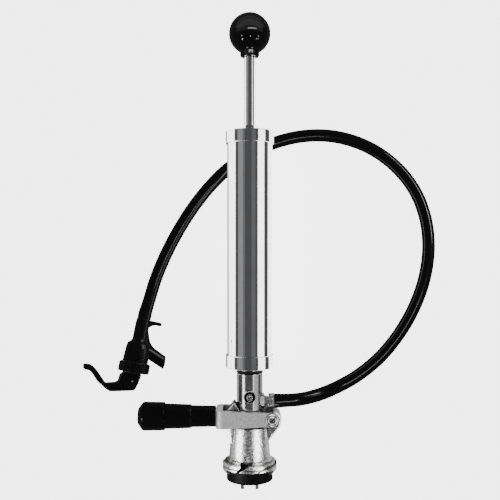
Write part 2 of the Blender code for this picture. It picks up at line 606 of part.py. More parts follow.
def smooth_route(points, spacing):
    """Points at an even spacing on a smooth curve through the route's own points."""
    ends = [2 * points[0] - points[1]] + points + [2 * points[-1] - points[-2]]
    fine = []
    for a, b, c, d in zip(ends, ends[1:], ends[2:], ends[3:]):
        for i in range(20):
            t = i / 20
            fine.append(0.5 * (2 * b + (c - a) * t + (2 * a - 5 * b + 4 * c - d) * t ** 2
                               + (3 * b - a - 3 * c + d) * t ** 3))
    fine.append(points[-1])
    length = sum((q - p).length for p, q in zip(fine, fine[1:]))
    count = round(length / spacing)
    step = length / count
    even, run, wanted = [fine[0]], 0.0, step
    for p, q in zip(fine, fine[1:]):
        piece = (q - p).length
        while run + piece >= wanted and len(even) < count:
            even.append(p.lerp(q, (wanted - run) / piece))
            wanted += step
        run += piece
    even.append(fine[-1])
    return even


def beer_hose(world):
    """A plain tube; its first and last stretches are straight, in line with what they meet."""
    route = [Vector((x, y, TABLE_Z + height)) for x, y, height in HOSE_ROUTE]
    points = route[:1] + smooth_route(route[1:-1], HOSE_SPACING) + route[-1:]
    wire("beer_hose", points, HOSE_R, world, finish=GLOSS_BLACK, resolution=3)


# ---------------------------------------------------------------- assembly

def build():
    pump = frame("pump_frame", rotation=(TILT, 0, 0))
    rod = frame("rod_frame", parent=pump)
    coupler = frame("coupler_frame", parent=pump)
    lever = frame("lever_frame", (PIVOT_X, PIVOT_Y, 0), parent=pump)
    grip = frame("grip_frame", (0, PIVOT_Y, 0), parent=pump)
    plunger = frame("relief_frame", (0, RELIEF_Y, 0), parent=pump)
    floating = frame("ball_frame", (0, 5.5, 0), parent=pump)
    faucet = frame("faucet_frame", (*FAUCET_AT, TABLE_Z + FAUCET_HEIGHT),
                   (-FAUCET_DIP, FAUCET_ROLL, -FAUCET_TURN), "YXZ")
    stem = frame("faucet_stem_frame", parent=faucet)
    thumb = frame("faucet_lever_frame", (0, -11.5, 0), parent=faucet)
    world = frame("hose_frame")

    knob(rod)
    pump_rod(rod)
    piston(rod)
    rod_bushing(pump)
    caps(pump)
    pump_tube(pump)
    pump_base(pump)
    probe(pump)
    probe_tip(pump, floating)
    relief_valve(pump, plunger)
    beer_outlet(pump)
    coupler_body(coupler)
    body_seal(coupler)
    lever_fork(lever)
    lever_pins(coupler, lever)
    handle_inside(lever, grip)
    grip_pieces(grip)
    faucet_body(faucet)
    faucet_nut(faucet)
    faucet_inside(faucet, stem)
    faucet_lever(thumb)
    beer_hose(world)


build()
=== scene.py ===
"""Looks for the keg hand pump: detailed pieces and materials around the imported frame.

Shapes are in millimetres, in the pump's frame (+Y along the pump, +Z up) or the faucet's frame
(+Y along its body towards the hose). MM turns them into Blender's metres. The pump lies on its
lugs and on the hose under its tube, so its frame is tilted. Lights are placed in metres.
"""
import math

import bmesh
import bpy
from mathutils import Euler, Matrix, Vector


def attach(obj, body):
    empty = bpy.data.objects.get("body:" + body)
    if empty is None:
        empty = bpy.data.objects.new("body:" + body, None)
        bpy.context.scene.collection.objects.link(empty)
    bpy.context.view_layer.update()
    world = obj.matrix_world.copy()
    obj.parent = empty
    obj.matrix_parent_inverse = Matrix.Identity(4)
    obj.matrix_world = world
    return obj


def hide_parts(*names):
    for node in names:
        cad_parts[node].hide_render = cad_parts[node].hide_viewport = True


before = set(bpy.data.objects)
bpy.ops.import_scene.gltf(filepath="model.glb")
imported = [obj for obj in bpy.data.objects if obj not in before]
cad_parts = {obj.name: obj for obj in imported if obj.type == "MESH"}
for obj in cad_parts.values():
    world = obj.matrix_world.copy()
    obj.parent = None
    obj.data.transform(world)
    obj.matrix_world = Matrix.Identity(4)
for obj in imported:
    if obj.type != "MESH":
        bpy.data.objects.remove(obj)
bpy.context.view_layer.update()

MM = 0.001
TILT = math.radians(1.8)
PUMP = Matrix.Rotation(TILT, 4, "X")
LUG_Y, LUG_R = 14.2, 22.8
TABLE_Z = LUG_Y * math.sin(TILT) - LUG_R * math.cos(TILT)
FAUCET_AT = Vector((-99.7, 96.3, TABLE_Z + 13.6))
FAUCET_TURN = Euler([math.radians(angle) for angle in (-6.0, 18.0, -10.0)], "YXZ").to_matrix().to_4x4()
FAUCET = Matrix.Translation(FAUCET_AT * MM) @ FAUCET_TURN
CAMERA_AT = Vector((0.25, 197.2, 635.0))

ALONG_X = Matrix.Rotation(math.pi / 2, 4, "Y")
ALONG_Y = Matrix.Rotation(-math.pi / 2, 4, "X")
ALONG_Z = Matrix.Identity(4)
SIDES = {"front": 0.0, "back": math.pi}
ROUND = 96
GROUPS = {name: bpy.data.collections.new(name + "_pieces")
          for name in ("polished", "plated", "valve", "cast", "blasted", "knob", "black", "hose")}

KNOB_R, KNOB_Y, KNOB_NECK_R = 17.6, 380.4, 8.1
ROD_R = 4.75
TUBE_R, CAP_R, CAP_INSIDE_R, PASSAGE_R = 19.05, 20.3, 19.4, 6.5
NECK_R = 10.95
BORE_R = 11.3
PIVOT = (18.6, 56.6, 0.0)
HANDLE = (0.0, 56.6, 0.0)
OUTLET = (0.0, 69.6, 0.0)
RELIEF = (0.0, 75.5, 0.0)

HOSE_R = 5.6
HOSE_ROUTE = [
    (20.2, 69.6, 24.5), (25.0, 69.6, 24.5), (39.5, 70.1, 22.6), (50.0, 71.2, 18.6), (63.0, 73.9, 12.6),
    (77.0, 79.0, 7.8), (90.5, 86.0, 5.9), (103.0, 94.8, 5.6), (114.0, 104.5, 5.6), (123.5, 115.2, 5.6),
    (132.2, 127.0, 5.6), (139.8, 139.6, 5.6), (146.2, 152.8, 5.6), (151.4, 167.0, 5.6),
    (155.0, 182.0, 5.6), (156.8, 198.0, 5.6), (156.2, 214.4, 5.6), (153.0, 230.8, 5.6),
    (147.0, 246.4, 5.6), (138.0, 260.7, 5.6), (126.4, 273.2, 5.6), (112.8, 283.6, 5.6),
    (97.7, 291.4, 5.6), (81.5, 296.5, 5.6), (65.0, 298.8, 5.6), (48.4, 298.3, 5.6), (32.0, 295.3, 5.6),
    (15.5, 289.8, 5.6), (-2.5, 280.9, 5.6), (-19.0, 269.5, 5.6), (-33.4, 255.6, 5.6),
    (-45.6, 240.8, 5.6), (-55.8, 226.0, 5.6), (-64.4, 211.6, 5.6), (-71.8, 197.4, 5.6),
    (-78.0, 183.6, 5.6), (-83.2, 169.8, 5.7), (-86.9, 157.0, 6.8), (-90.8, 143.6, 8.6),
    (-92.0, 137.8, 9.2),
]


# ---------------------------------------------------------------- outlines

def arc(centre_a, centre_b, radius, start, end, count):
    """Points on an arc, with angles in degrees."""
    points = []
    for i in range(count + 1):
        angle = math.radians(start + (end - start) * i / count)
        points.append((centre_a + radius * math.cos(angle), centre_b + radius * math.sin(angle)))
    return points


def rounded(corners, closed=True, steps=5):
    """An outline with its corners rounded: each corner is (a, b) or (a, b, radius)."""
    points = []
    for i, corner in enumerate(corners):
        here = Vector(corner[:2])
        if len(corner) < 3 or (not closed and i in (0, len(corners) - 1)):
            points.append(tuple(here))
            continue
        back = Vector(corners[i - 1][:2]) - here
        ahead = Vector(corners[(i + 1) % len(corners)][:2]) - here
        reach = corner[2] / math.tan(back.angle(ahead) / 2)
        reach = min(reach, 0.49 * back.length, 0.49 * ahead.length)
        start = here + back.normalized() * reach
        end = here + ahead.normalized() * reach
        for k in range(steps + 1):
            t = k / steps
            points.append(tuple(start.lerp(here, t).lerp(here.lerp(end, t), t)))
    return points


# ---------------------------------------------------------------- solids

def solid(name, points, faces, place):
    """A mesh object from points in millimetres, moved by a 4x4 place."""
    mesh = bpy.data.meshes.new(name)
    mesh.from_pydata([place @ Vector(point) * MM for point in points], [], faces)
    tidy = bmesh.new()
    tidy.from_mesh(mesh)
    bmesh.ops.recalc_face_normals(tidy, faces=tidy.faces)
    tidy.to_mesh(mesh)
    tidy.free()
    made = bpy.data.objects.new(name, mesh)
    bpy.context.scene.collection.objects.link(made)
    return made


def at(point, turn=ALONG_Z):
    """A place in millimetres, with a turn of its own."""
    return Matrix.Translation(Vector(point)) @ turn


def turned(name, corners, place=ALONG_Y, closed=True, steps=ROUND):
    """A turned solid: corners are (radius, distance along the axis, rounding)."""
    rings, points = [], []
    for radius, height in rounded(corners, closed):
        count = 1 if radius < 1e-6 else steps
        rings.append([len(points) + i for i in range(count)])
        for i in range(count):
            angle = 2 * math.pi * i / steps
            points.append((radius * math.cos(angle), radius * math.sin(angle), height))
    pairs = list(zip(rings, rings[1:]))
    if closed:
        pairs.append((rings[-1], rings[0]))
    faces = []
    for upper, lower in pairs:
        for i in range(steps):
            j = (i + 1) % steps
            corners_used = [upper[i % len(upper)], lower[i % len(lower)], lower[j % len(lower)],
                            upper[j % len(upper)]]
            face = list(dict.fromkeys(corners_used))
            if len(face) > 2:
                faces.append(face)
    return solid(name, points, faces, place)


def rod(name, radius, start, end, place=ALONG_Y, steps=48):
    """A plain round bar, mostly for cutting holes."""
    return turned(name, [(0, end), (radius, end), (radius, start), (0, start)], place, False, steps)


def prism(name, corners, low, high, place=ALONG_Z):
    """A flat outline extruded from low to high."""
    outline = rounded(corners)
    count = len(outline)
    points = [(a, b, low) for a, b in outline] + [(a, b, high) for a, b in outline]
    faces = [list(range(count))[::-1], list(range(count, 2 * count))]
    faces += [[i, (i + 1) % count, count + (i + 1) % count, count + i] for i in range(count)]
    return solid(name, points, faces, place)


def ramp(name, angles, heights, width, reach, place=ALONG_Z, steps=24):
    """A band that climbs around the Y axis: angles from +Z to +X in degrees, reach is its radii."""
    points = []
    for i in range(steps + 1):
        t = i / steps
        angle = math.radians(angles[0] + (angles[1] - angles[0]) * t)
        height = heights[0] + (heights[1] - heights[0]) * t
        for radius, side in ((reach[0], -1), (reach[1], -1), (reach[1], 1), (reach[0], 1)):
            points.append((radius * math.sin(angle), height + side * width / 2, radius * math.cos(angle)))
    faces = [(3, 2, 1, 0), tuple(4 * steps + k for k in range(4))]
    for i in range(steps):
        for k in range(4):
            faces.append((4 * i + k, 4 * i + (k + 1) % 4, 4 * i + 4 + (k + 1) % 4, 4 * i + 4 + k))
    return solid(name, points, faces, place)


def block(name, low, high, place=ALONG_Z):
    outline = [(low[0], low[1]), (high[0], low[1]), (high[0], high[1]), (low[0], high[1])]
    return prism(name, outline, low[2], high[2], place)


def settle(piece):
    """Apply a piece's modifiers."""
    graph = bpy.context.evaluated_depsgraph_get()
    graph.update()
    mesh = bpy.data.meshes.new_from_object(piece.evaluated_get(graph))
    piece.modifiers.clear()
    piece.data = mesh


def combine(piece, operation, tools):
    """Add, take away or intersect each tool, and then delete it."""
    for tool in tools:
        change = piece.modifiers.new("combine", "BOOLEAN")
        change.operation = operation
        change.solver = "EXACT"
        change.object = tool
    settle(piece)
    for tool in tools:
        bpy.data.objects.remove(tool, do_unlink=True)


def cut(piece, *tools):
    combine(piece, "DIFFERENCE", tools)


def join(piece, *tools):
    combine(piece, "UNION", tools)


def soften(piece, width, segments=3, angle=35.0):
    """Round a piece's sharp edges."""
    clean = bmesh.new()
    clean.from_mesh(piece.data)
    bmesh.ops.remove_doubles(clean, verts=clean.verts, dist=0.00002)
    bmesh.ops.dissolve_limit(clean, angle_limit=math.radians(1.0), verts=clean.verts, edges=clean.edges)
    clean.to_mesh(piece.data)
    clean.free()
    bevel = piece.modifiers.new("soften", "BEVEL")
    bevel.width = width * MM
    bevel.segments = segments
    bevel.limit_method = "ANGLE"
    bevel.angle_limit = math.radians(angle)
    bevel.use_clamp_overlap = True
    bevel.miter_outer = "MITER_ARC"
    settle(piece)


def swell(piece, amount):
    """Move a piece's surface outwards."""
    grow = piece.modifiers.new("swell", "DISPLACE")
    grow.strength = amount * MM
    grow.mid_level = 0.0
    settle(piece)


def sort_piece(piece, look):
    """Link a piece to its look's group of lights. The faucet and the hose stay out of reflections."""
    GROUPS[look["lit_as"]].objects.link(piece)
    if look.name in ("faucet_black", "hose_black"):
        piece.visible_glossy = False


def finish(piece, node, body, look, place=PUMP):
    """Shade a piece, put it in the row frame, attach it to its body and hide the CAD node that it stands in
    for.
    """
    piece.data.shade_smooth()
    piece.data.set_sharp_from_angle(angle=math.radians(38.0))
    weighted = piece.modifiers.new("even_normals", "WEIGHTED_NORMAL")
    weighted.keep_sharp = True
    weighted.weight = 90
    piece.data.materials.clear()
    piece.data.materials.append(look)
    sort_piece(piece, look)
    piece.data.transform(place)
    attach(piece, body)
    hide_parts(node)
    return piece


# ---------------------------------------------------------------- materials

def new_look(name, metallic):
    made = bpy.data.materials.new(name)
    made.use_nodes = True
    shader = made.node_tree.nodes["Principled BSDF"]
    shader.inputs["Metallic"].default_value = metallic
    return made, made.node_tree, shader


def noise(tree, scale, detail, stretch=(1.0, 1.0, 1.0)):
    """Noise in the piece's own coordinates; scale is per metre."""
    where = tree.nodes.new("ShaderNodeTexCoord")
    mapping = tree.nodes.new("ShaderNodeMapping")
    mapping.inputs["Scale"].default_value = stretch
    made = tree.nodes.new("ShaderNodeTexNoise")
    made.inputs["Scale"].default_value = scale
    made.inputs["Detail"].default_value = detail
    made.inputs["Roughness"].default_value = 0.55
    tree.links.new(where.outputs["Object"], mapping.inputs["Vector"])
    tree.links.new(mapping.outputs["Vector"], made.inputs["Vector"])
    return made.outputs["Fac"]


def spread(tree, source, low, high, start=0.3, end=0.7):
    """A value that runs between low and high with a noise."""
    made = tree.nodes.new("ShaderNodeMapRange")
    made.inputs["From Min"].default_value = start
    made.inputs["From Max"].default_value = end
    made.inputs["To Min"].default_value = low
    made.inputs["To Max"].default_value = high
    tree.links.new(source, made.inputs["Value"])
    return made.outputs["Result"]


def tint(tree, source, dark, light, start=0.35, end=0.65):
    """A colour that runs between dark and light with a noise."""
    made = tree.nodes.new("ShaderNodeValToRGB")
    made.color_ramp.elements[0].position = start
    made.color_ramp.elements[0].color = (*dark, 1.0)
    made.color_ramp.elements[1].position = end
    made.color_ramp.elements[1].color = (*light, 1.0)
    tree.links.new(source, made.inputs["Fac"])
    return made.outputs["Color"]


def bumped(tree, shader, source, distance, under=None):
    """Surface relief: distance is in millimetres, and under is a relief that it adds to."""
    made = tree.nodes.new("ShaderNodeBump")
    made.inputs["Strength"].default_value = 1.0
    made.inputs["Distance"].default_value = distance * MM
    tree.links.new(source, made.inputs["Height"])
    if under:
        tree.links.new(under, made.inputs["Normal"])
    tree.links.new(made.outputs["Normal"], shader.inputs["Normal"])
    return made.outputs["Normal"]


def painted_recess_shade(tree, colour, reach, power):
    """Painted shade: a colour darkened by ambient occlusion in grooves and corners, where shade falls;
    reach is in millimetres.
    """
    occlusion = tree.nodes.new("ShaderNodeAmbientOcclusion")
    occlusion.samples = 8
    occlusion.inputs["Distance"].default_value = reach * MM
    steeper = tree.nodes.new("ShaderNodeMath")
    steeper.operation = "POWER"
    steeper.inputs[1].default_value = power
    shaded_colour = tree.nodes.new("ShaderNodeVectorMath")
    shaded_colour.operation = "SCALE"
    tree.links.new(occlusion.outputs["AO"], steeper.inputs[0])
    tree.links.new(colour, shaded_colour.inputs[0])
    tree.links.new(steeper.outputs["Value"], shaded_colour.inputs["Scale"])
    return shaded_colour.outputs["Vector"]


def metal(name, dark, light, gloss, grain, grain_depth, cloud=60.0, wave=0.0, stretch=(1.0, 1.0, 1.0),
          recess_shade_reach=0.0, power=1.0):
    """Metal with a faint cloudiness, a grain of its own, painted shade in its recesses and, if cast, a slow
    waviness.
    """
    made, tree, shader = new_look(name, 1.0)
    clouds = noise(tree, cloud, 3.0)
    fine = noise(tree, grain, 2.0, stretch)
    colour = tint(tree, clouds, dark, light)
    # Painted shade: ambient occlusion darkens the base colour in grooves, corners and recesses.
    if recess_shade_reach:
        colour = painted_recess_shade(tree, colour, recess_shade_reach, power)
    tree.links.new(colour, shader.inputs["Base Color"])
    tree.links.new(spread(tree, fine, gloss[0], gloss[1]), shader.inputs["Roughness"])
    under = None
    if wave:
        under = bumped(tree, shader, noise(tree, 260.0, 2.0), wave)
    bumped(tree, shader, fine, grain_depth, under=under)
    return made


def moulded(name, dark, light, gloss, grain, grain_depth, coat=0.0, cloud=90.0):
    """Moulded plastic or rubber with a faint texture and uneven gloss."""
    made, tree, shader = new_look(name, 0.0)
    shader.inputs["Coat Weight"].default_value = coat
    shader.inputs["Coat Roughness"].default_value = 0.12
    clouds = noise(tree, cloud, 4.0)
    fine = noise(tree, grain, 3.0)
    tree.links.new(tint(tree, clouds, dark, light), shader.inputs["Base Color"])
    tree.links.new(spread(tree, clouds, gloss[0], gloss[1]), shader.inputs["Roughness"])
    bumped(tree, shader, fine, grain_depth)
    return made


def make_looks():
    """The materials by name, each marked with the group of lights that shines on it."""
    # The cast, blasted, valve and screw looks get painted shade in their grooves and recesses.
    groups = {
        "polished": {
            "chrome": metal("polished_chrome", (0.72, 0.72, 0.74), (0.80, 0.80, 0.82), (0.04, 0.07), 900.0,
                            0.0003, stretch=(1.0, 0.05, 1.0)),
            "cap": metal("polished_cap", (0.70, 0.70, 0.72), (0.78, 0.78, 0.80), (0.05, 0.08), 900.0,
                         0.0003, stretch=(0.1, 1.0, 0.1)),
        },
        "plated": {
            "neck": metal("plated_neck", (0.56, 0.56, 0.57), (0.86, 0.86, 0.87), (0.08, 0.18), 1500.0, 0.01,
                          cloud=700.0, wave=0.05),
            "steel": metal("turned_steel", (0.45, 0.45, 0.46), (0.72, 0.72, 0.73), (0.20, 0.34), 2500.0,
                           0.004, cloud=300.0),
            "brass": metal("turned_brass", (0.55, 0.38, 0.16), (0.70, 0.52, 0.26), (0.18, 0.32), 2000.0,
                           0.004),
        },
        "cast": {
            "cast": metal("cast_nickel", (0.40, 0.40, 0.40), (0.92, 0.92, 0.91), (0.22, 0.34), 700.0, 0.22,
                          cloud=850.0, wave=0.05, recess_shade_reach=7.0, power=2.2),
        },
        "blasted": {
            "fork": metal("blasted_fork", (0.50, 0.50, 0.50), (0.80, 0.80, 0.80), (0.42, 0.56), 1100.0,
                          0.09, cloud=900.0, recess_shade_reach=3.0, power=1.5),
        },
        "valve": {
            "valve": metal("plated_valve", (0.30, 0.30, 0.31), (0.46, 0.46, 0.47), (0.08, 0.16), 1500.0,
                           0.005, cloud=500.0, recess_shade_reach=4.0, power=1.5),
            "screw": metal("zinc_screw", (0.28, 0.28, 0.29), (0.42, 0.42, 0.43), (0.20, 0.28), 1500.0,
                           0.002, cloud=900.0, recess_shade_reach=2.0, power=0.5),
        },
        "knob": {
            "knob": moulded("gloss_knob", (0.0008, 0.0008, 0.0009), (0.0016, 0.0016, 0.0017), (0.05, 0.09),
                            300.0, 0.002, coat=0.3),
        },
        "black": {
            "rubber": moulded("black_rubber", (0.006, 0.006, 0.006), (0.014, 0.014, 0.014), (0.45, 0.6),
                              1800.0, 0.02),
            "grip": moulded("satin_grip", (0.0014, 0.0014, 0.0014), (0.0030, 0.0030, 0.0030), (0.20, 0.32),
                            2200.0, 0.006),
            "faucet": moulded("faucet_black", (0.0018, 0.0018, 0.0018), (0.0038, 0.0038, 0.0038),
                              (0.18, 0.30), 1900.0, 0.008),
        },
        "hose": {
            "hose": moulded("hose_black", (0.0012, 0.0012, 0.0012), (0.0026, 0.0026, 0.0026), (0.10, 0.18),
                            700.0, 0.004, coat=0.2),
        },
    }
    looks = {}
    for group, members in groups.items():
        for look in members.values():
            look["lit_as"] = group
        looks.update(members)
    return looks


# ---------------------------------------------------------------- pump cylinder

def add_knob(looks):
    side = -math.degrees(math.acos(KNOB_NECK_R / KNOB_R)) + 4.0
    profile = arc(0, KNOB_Y, KNOB_R, 90, side, 44)
    profile += [(KNOB_NECK_R, 365.4, 1.2), (KNOB_NECK_R, 360.5, 1.6), (5.05, 360.5, 0.3), (5.05, 373.0),
                (0, 373.0)]
    finish(turned("knob_ball", profile, closed=False, steps=128), "knob", "rod",
           looks["knob"])


def add_rod(looks):
    profile = [(0, 372.7), (ROD_R, 372.7, 0.5), (ROD_R, 174.0, 0.3), (3.0, 174.0), (3.0, 162.0, 0.6),
               (0, 162.0)]
    finish(turned("pump_rod_bar", profile, closed=False), "pump_rod", "rod", looks["chrome"])


def add_bushing(looks):
    hexagon = arc(0, 0, 7.4, 0, 300, 5)
    bush = prism("rod_bushing_hex", hexagon, 297.8, 302.3, ALONG_Y)
    crown = [(0, 302.3), (6.5, 302.3), (7.6, 301.6), (7.6, 298.3), (7.2, 297.8), (0, 297.8)]
    combine(bush, "INTERSECT", [turned("crown", crown, closed=False)])
    join(bush, rod("spigot", 6.2, 291.0, 298.0))
    mouth = [(0, 303), (6.2, 303), (5.0, 301.7), (0, 301.7)]
    cut(bush, rod("bore", 5.05, 290.0, 303.0), turned("mouth", mouth, closed=False))
    soften(bush, 0.12, 2)
    finish(bush, "rod_bushing", "pump", looks["chrome"])


def add_caps(looks):
    head = [(CAP_R, 297.5, 0.7), (CAP_R, 287.0, 0.45), (CAP_INSIDE_R, 287.0, 0.35), (CAP_INSIDE_R, 293.6),
            (PASSAGE_R, 293.6), (PASSAGE_R, 297.5, 0.3)]
    finish(turned("top_cap_shell", head, steps=160), "top_cap", "pump", looks["cap"])
    foot = [(CAP_R, 108.9, 0.45), (CAP_R, 98.0, 0.7), (PASSAGE_R, 98.0), (PASSAGE_R, 101.4),
            (CAP_INSIDE_R, 101.4), (CAP_INSIDE_R, 108.9, 0.35)]
    finish(turned("bottom_cap_shell", foot, steps=160), "bottom_cap", "pump", looks["cap"])
    tube = [(TUBE_R, 293.3, 0.3), (TUBE_R, 101.7, 0.3), (17.9, 101.7, 0.3), (17.9, 293.3, 0.3)]
    finish(turned("pump_tube_wall", tube, steps=160), "pump_tube", "pump", looks["chrome"])


def add_base(looks):
    ring = [(10.7, 97.7, 0.35), (10.7, 95.8, 0.35), (PASSAGE_R, 95.8), (PASSAGE_R, 97.7)]
    nut = turned("base_lock_ring_nut", ring)
    notches = []
    for i in range(6):
        spin = Matrix.Rotation(math.radians(60 * i + 30), 4, "Y")
        notches.append(rod("notch", 1.1, 95.0, 98.5, spin @ at((0, 0, 11.2), ALONG_Y), 20))
    cut(nut, *notches)
    soften(nut, 0.15, 2)
    finish(nut, "base_lock_ring", "pump", looks["neck"])
    gasket = [(11.25, 95.5, 0.9), (11.25, 93.6, 0.9), (PASSAGE_R, 93.6), (PASSAGE_R, 95.5)]
    finish(turned("neck_gasket_ring", gasket), "neck_gasket", "pump", looks["rubber"])


# ---------------------------------------------------------------- neck, probe and valves

def add_probe(looks):
    profile = [(0, 86.0), (PASSAGE_R, 87.0), (PASSAGE_R, 93.3, 0.2), (NECK_R, 93.3, 0.7),
               (NECK_R, 59.25, 0.3), (8.6, 59.25, 0.3), (8.6, 53.95, 0.3), (NECK_R, 53.95, 0.3),
               (NECK_R, 25.0, 0.4), (10.0, 24.0, 0.3), (10.0, 8.3, 0.4), (7.4, 8.3),
               (7.4, 1.2, 0.3), (5.0, 1.2, 0.2), (5.0, 11.5), (3.6, 12.5), (3.6, 74.0), (0, 75.0)]
    body = turned("probe_neck", profile, closed=False)
    boss = turned("boss", [(0, 12.6), (6.1, 12.6, 0.8), (7.4, 9.0, 0.8), (7.4, 4.6), (0, 4.6)],
                  at(OUTLET, ALONG_X), False)
    join(body, boss)
    cut(body, rod("outlet_way", 4.1, 0.0, 14.0, at(OUTLET, ALONG_X)),
        rod("gas_way", 1.1, 14.0, 90.0, at((0, 0, 6.3), ALONG_Y), 16),
        rod("gas_port", 1.0, 6.3, 12.0, at((0, 15, 0)), 16),
        rod("relief_way", 3.6, 6.3, 13.0, at(RELIEF)))
    soften(body, 0.18, 2)
    finish(body, "probe", "pump", looks["neck"])


def add_tip(looks):
    seal = [(10.6, 8.0, 1.0), (10.6, 4.9, 0.5), (10.3, 4.5, 0.3), (10.6, 4.1, 0.5), (10.6, 1.4, 1.0),
            (7.7, 1.4), (7.7, 8.0)]
    finish(turned("probe_seal_ring", seal), "probe_seal", "pump", looks["rubber"])
    disc = [(0, 0.9), (6.9, 0.9, 0.3), (6.9, 0.0, 0.3), (0, 0.0)]
    cage = turned("ball_retainer_cage", disc, closed=False)
    prong = [(8.0, 0.7), (8.1, -2.6, 0.5), (8.5, -3.3, 0.4), (9.3, -3.3, 0.5), (9.2, 0.7)]
    arms, holes = [], []
    for i in range(4):
        spin = Matrix.Rotation(math.radians(-45 - 90 * i), 4, "Y")
        arms.append(block("arm", (5.8, 0.1, -1.6), (8.6, 0.8, 1.6), spin))
        arms.append(prism("prong", prong, -1.5, 1.5, spin))
        angle = math.radians(90 * i)
        way = at((4.4 * math.cos(angle), 0, 4.4 * math.sin(angle)), ALONG_Y)
        holes.append(rod("way", 1.6, -1.0, 2.0, way, 24))
    join(cage, *arms)
    cut(cage, *holes)
    soften(cage, 0.15, 2)
    finish(cage, "ball_retainer", "pump", looks["steel"])


def add_relief(looks):
    body = [(5.1, 16.4, 0.5), (5.1, 11.3), (3.3, 11.3), (3.3, 8.2), (1.7, 8.2), (1.7, 8.9), (2.5, 8.9),
            (2.5, 15.4), (1.5, 15.4), (1.5, 16.6), (2.7, 16.6, 0.2), (2.85, 13.4), (3.9, 13.4),
            (4.2, 16.4, 0.3)]
    finish(turned("relief_body_cup", body, at(RELIEF)), "relief_body", "pump", looks["valve"])
    plunger = [(0, 21.0), (0.8, 21.0, 0.2), (1.1, 21.5, 0.2), (2.4, 21.5, 0.6), (2.4, 18.4, 0.4),
               (1.8, 18.0, 0.2), (1.2, 18.0), (1.2, 10.0), (2.3, 10.0, 0.2), (2.3, 9.2, 0.2), (0, 9.2)]
    finish(turned("relief_plunger_pin", plunger, at(RELIEF), False), "relief_plunger", "relief_plunger",
           looks["valve"])


def add_outlet(looks):
    nipple = [(2.6, 19.9), (3.2, 19.9, 0.2), (3.2, 15.6)]
    for i in range(3):
        top = 15.6 - 1.5 * i
        nipple += [(3.9, top, 0.1), (4.7, top - 0.5, 0.3), (4.7, top - 1.0, 0.2), (3.9, top - 1.3, 0.1)]
    nipple += [(3.8, 11.0), (3.8, 5.5), (2.4, 5.5)]
    place = at(OUTLET, ALONG_X)
    finish(turned("outlet_nipple_barb", nipple, place), "outlet_nipple", "pump", looks["neck"])
    collar = [(6.6, 20.4, 0.5), (6.6, 19.2, 0.2), (6.35, 18.6, 0.2), (6.35, 17.2, 0.2), (6.6, 16.9, 0.2),
              (6.6, 15.9, 0.5), (3.5, 15.9), (3.5, 20.4)]
    finish(turned("hose_collar_ring", collar, place), "hose_collar", "pump", looks["steel"])


# ---------------------------------------------------------------- coupler body

def add_coupler_body(looks):
    profile = [(15.0, 48.9, 0.2), (15.45, 48.4, 0.2), (15.7, 43.0, 2.0), (17.5, 22.6, 1.2),
               (19.0, 21.2, 0.6), (19.0, 19.9, 0.3), (21.9, 19.9, 0.5), (LUG_R, 18.9, 0.5),
               (LUG_R, 16.9, 0.3), (22.0, 16.3, 0.3), (LUG_R, 15.7, 0.3), (LUG_R, 12.6, 0.6),
               (20.3, 9.9, 0.4), (19.8, 9.9), (19.8, 14.3), (10.3, 14.3), (10.3, 48.9)]
    body = turned("coupler_body_casting", profile, steps=128)
    cheek = arc(20.6, 56.2, 5.9, 180, -20, 26) + [(25.0, 49.4, 2.0), (14.9, 49.4)]
    web = [(6.5, 36.6), (17.0, 37.6, 2.0), (25.6, 49.2, 2.0), (26.3, 51.5, 2.0), (23.6, 55.2),
           (15.8, 55.2), (15.8, 48.3), (6.5, 48.3)]
    tongue = [(-13.0, 33.0), (-15.8, 35.6, 2.0), (-19.6, 45.3, 4.0), (-19.9, 50.0, 3.0), (-19.9, 61.3, 0.6),
              (-13.2, 69.2, 0.6), (-12.4, 69.2, 0.4), (-4.0, 54.0), (-4.0, 40.0)]
    lugs = [prism("ear_cheek", cheek, -12.2, 12.2), prism("ear_web", web, -6.0, 6.0),
            prism("tongue", tongue, -8.5, 8.5)]
    tongue_slope = math.radians(31.0)
    slopes = []
    for side in (-1, 1):
        lean = at((-14.6, 0, 8.5), Matrix.Rotation(-tongue_slope, 4, "Y"))
        mirrored = Matrix.Scale(side, 4, (0, 0, 1)) @ lean
        slopes.append(block("slope", (-14.0, 20.0, 0.0), (4.0, 80.0, 12.0), mirrored))
    cut(lugs[2], *slopes)
    for piece, width in zip(lugs, (1.8, 1.6, 0.6)):
        soften(piece, width, 5)
    join(body, *lugs)
    cut(body, rod("bore", BORE_R, 13.0, 75.0, steps=96), rod("pivot_hole", 2.3, -14.0, 14.0, at(PIVOT)),
        rod("latch_hole", 3.4, -23.0, -5.0, at(HANDLE, ALONG_X)))
    groove_slope = math.radians(27.0)
    for flip in SIDES.values():
        flipped = Matrix.Rotation(flip, 4, "Y")
        groove = [(-12.5, 12.4), (-9.0, 12.4), (-8.0, 15.2, 1.0), (-2.5, 18.6, 2.0), (2.2, 21.4, 1.0),
                  (4.4, 24.6, 1.2), (2.5, 25.8, 1.0), (-1.5, 25.3, 1.0), (-5.0, 23.2, 1.0),
                  (-8.0, 21.2, 1.0), (-7.4, 18.8, 0.5), (-10.4, 15.8, 0.5)]
        thread = prism("thread", groove, 10.0, 26.0, flipped)
        floor = flipped @ at((0, 13.0, 12.0), Matrix.Rotation(groove_slope, 4, "X"))
        combine(thread, "INTERSECT", [block("above", (-30.0, -30.0, 0.0), (30.0, 30.0, 30.0), floor)])
        cut(body, block("gap", (-19.4, 8.0, 10.0), (19.4, 14.2, 24.0), flipped), thread,
            ramp("ramp", (9.0, 36.0), (13.4, 18.0), 1.8, (21.6, 25.0), flipped),
            ramp("ledge", (35.0, 86.0), (17.9, 18.9), 2.4, (21.4, 25.0), flipped))
    soften(body, 0.45, 3)
    finish(body, "coupler_body", "coupler", looks["cast"])


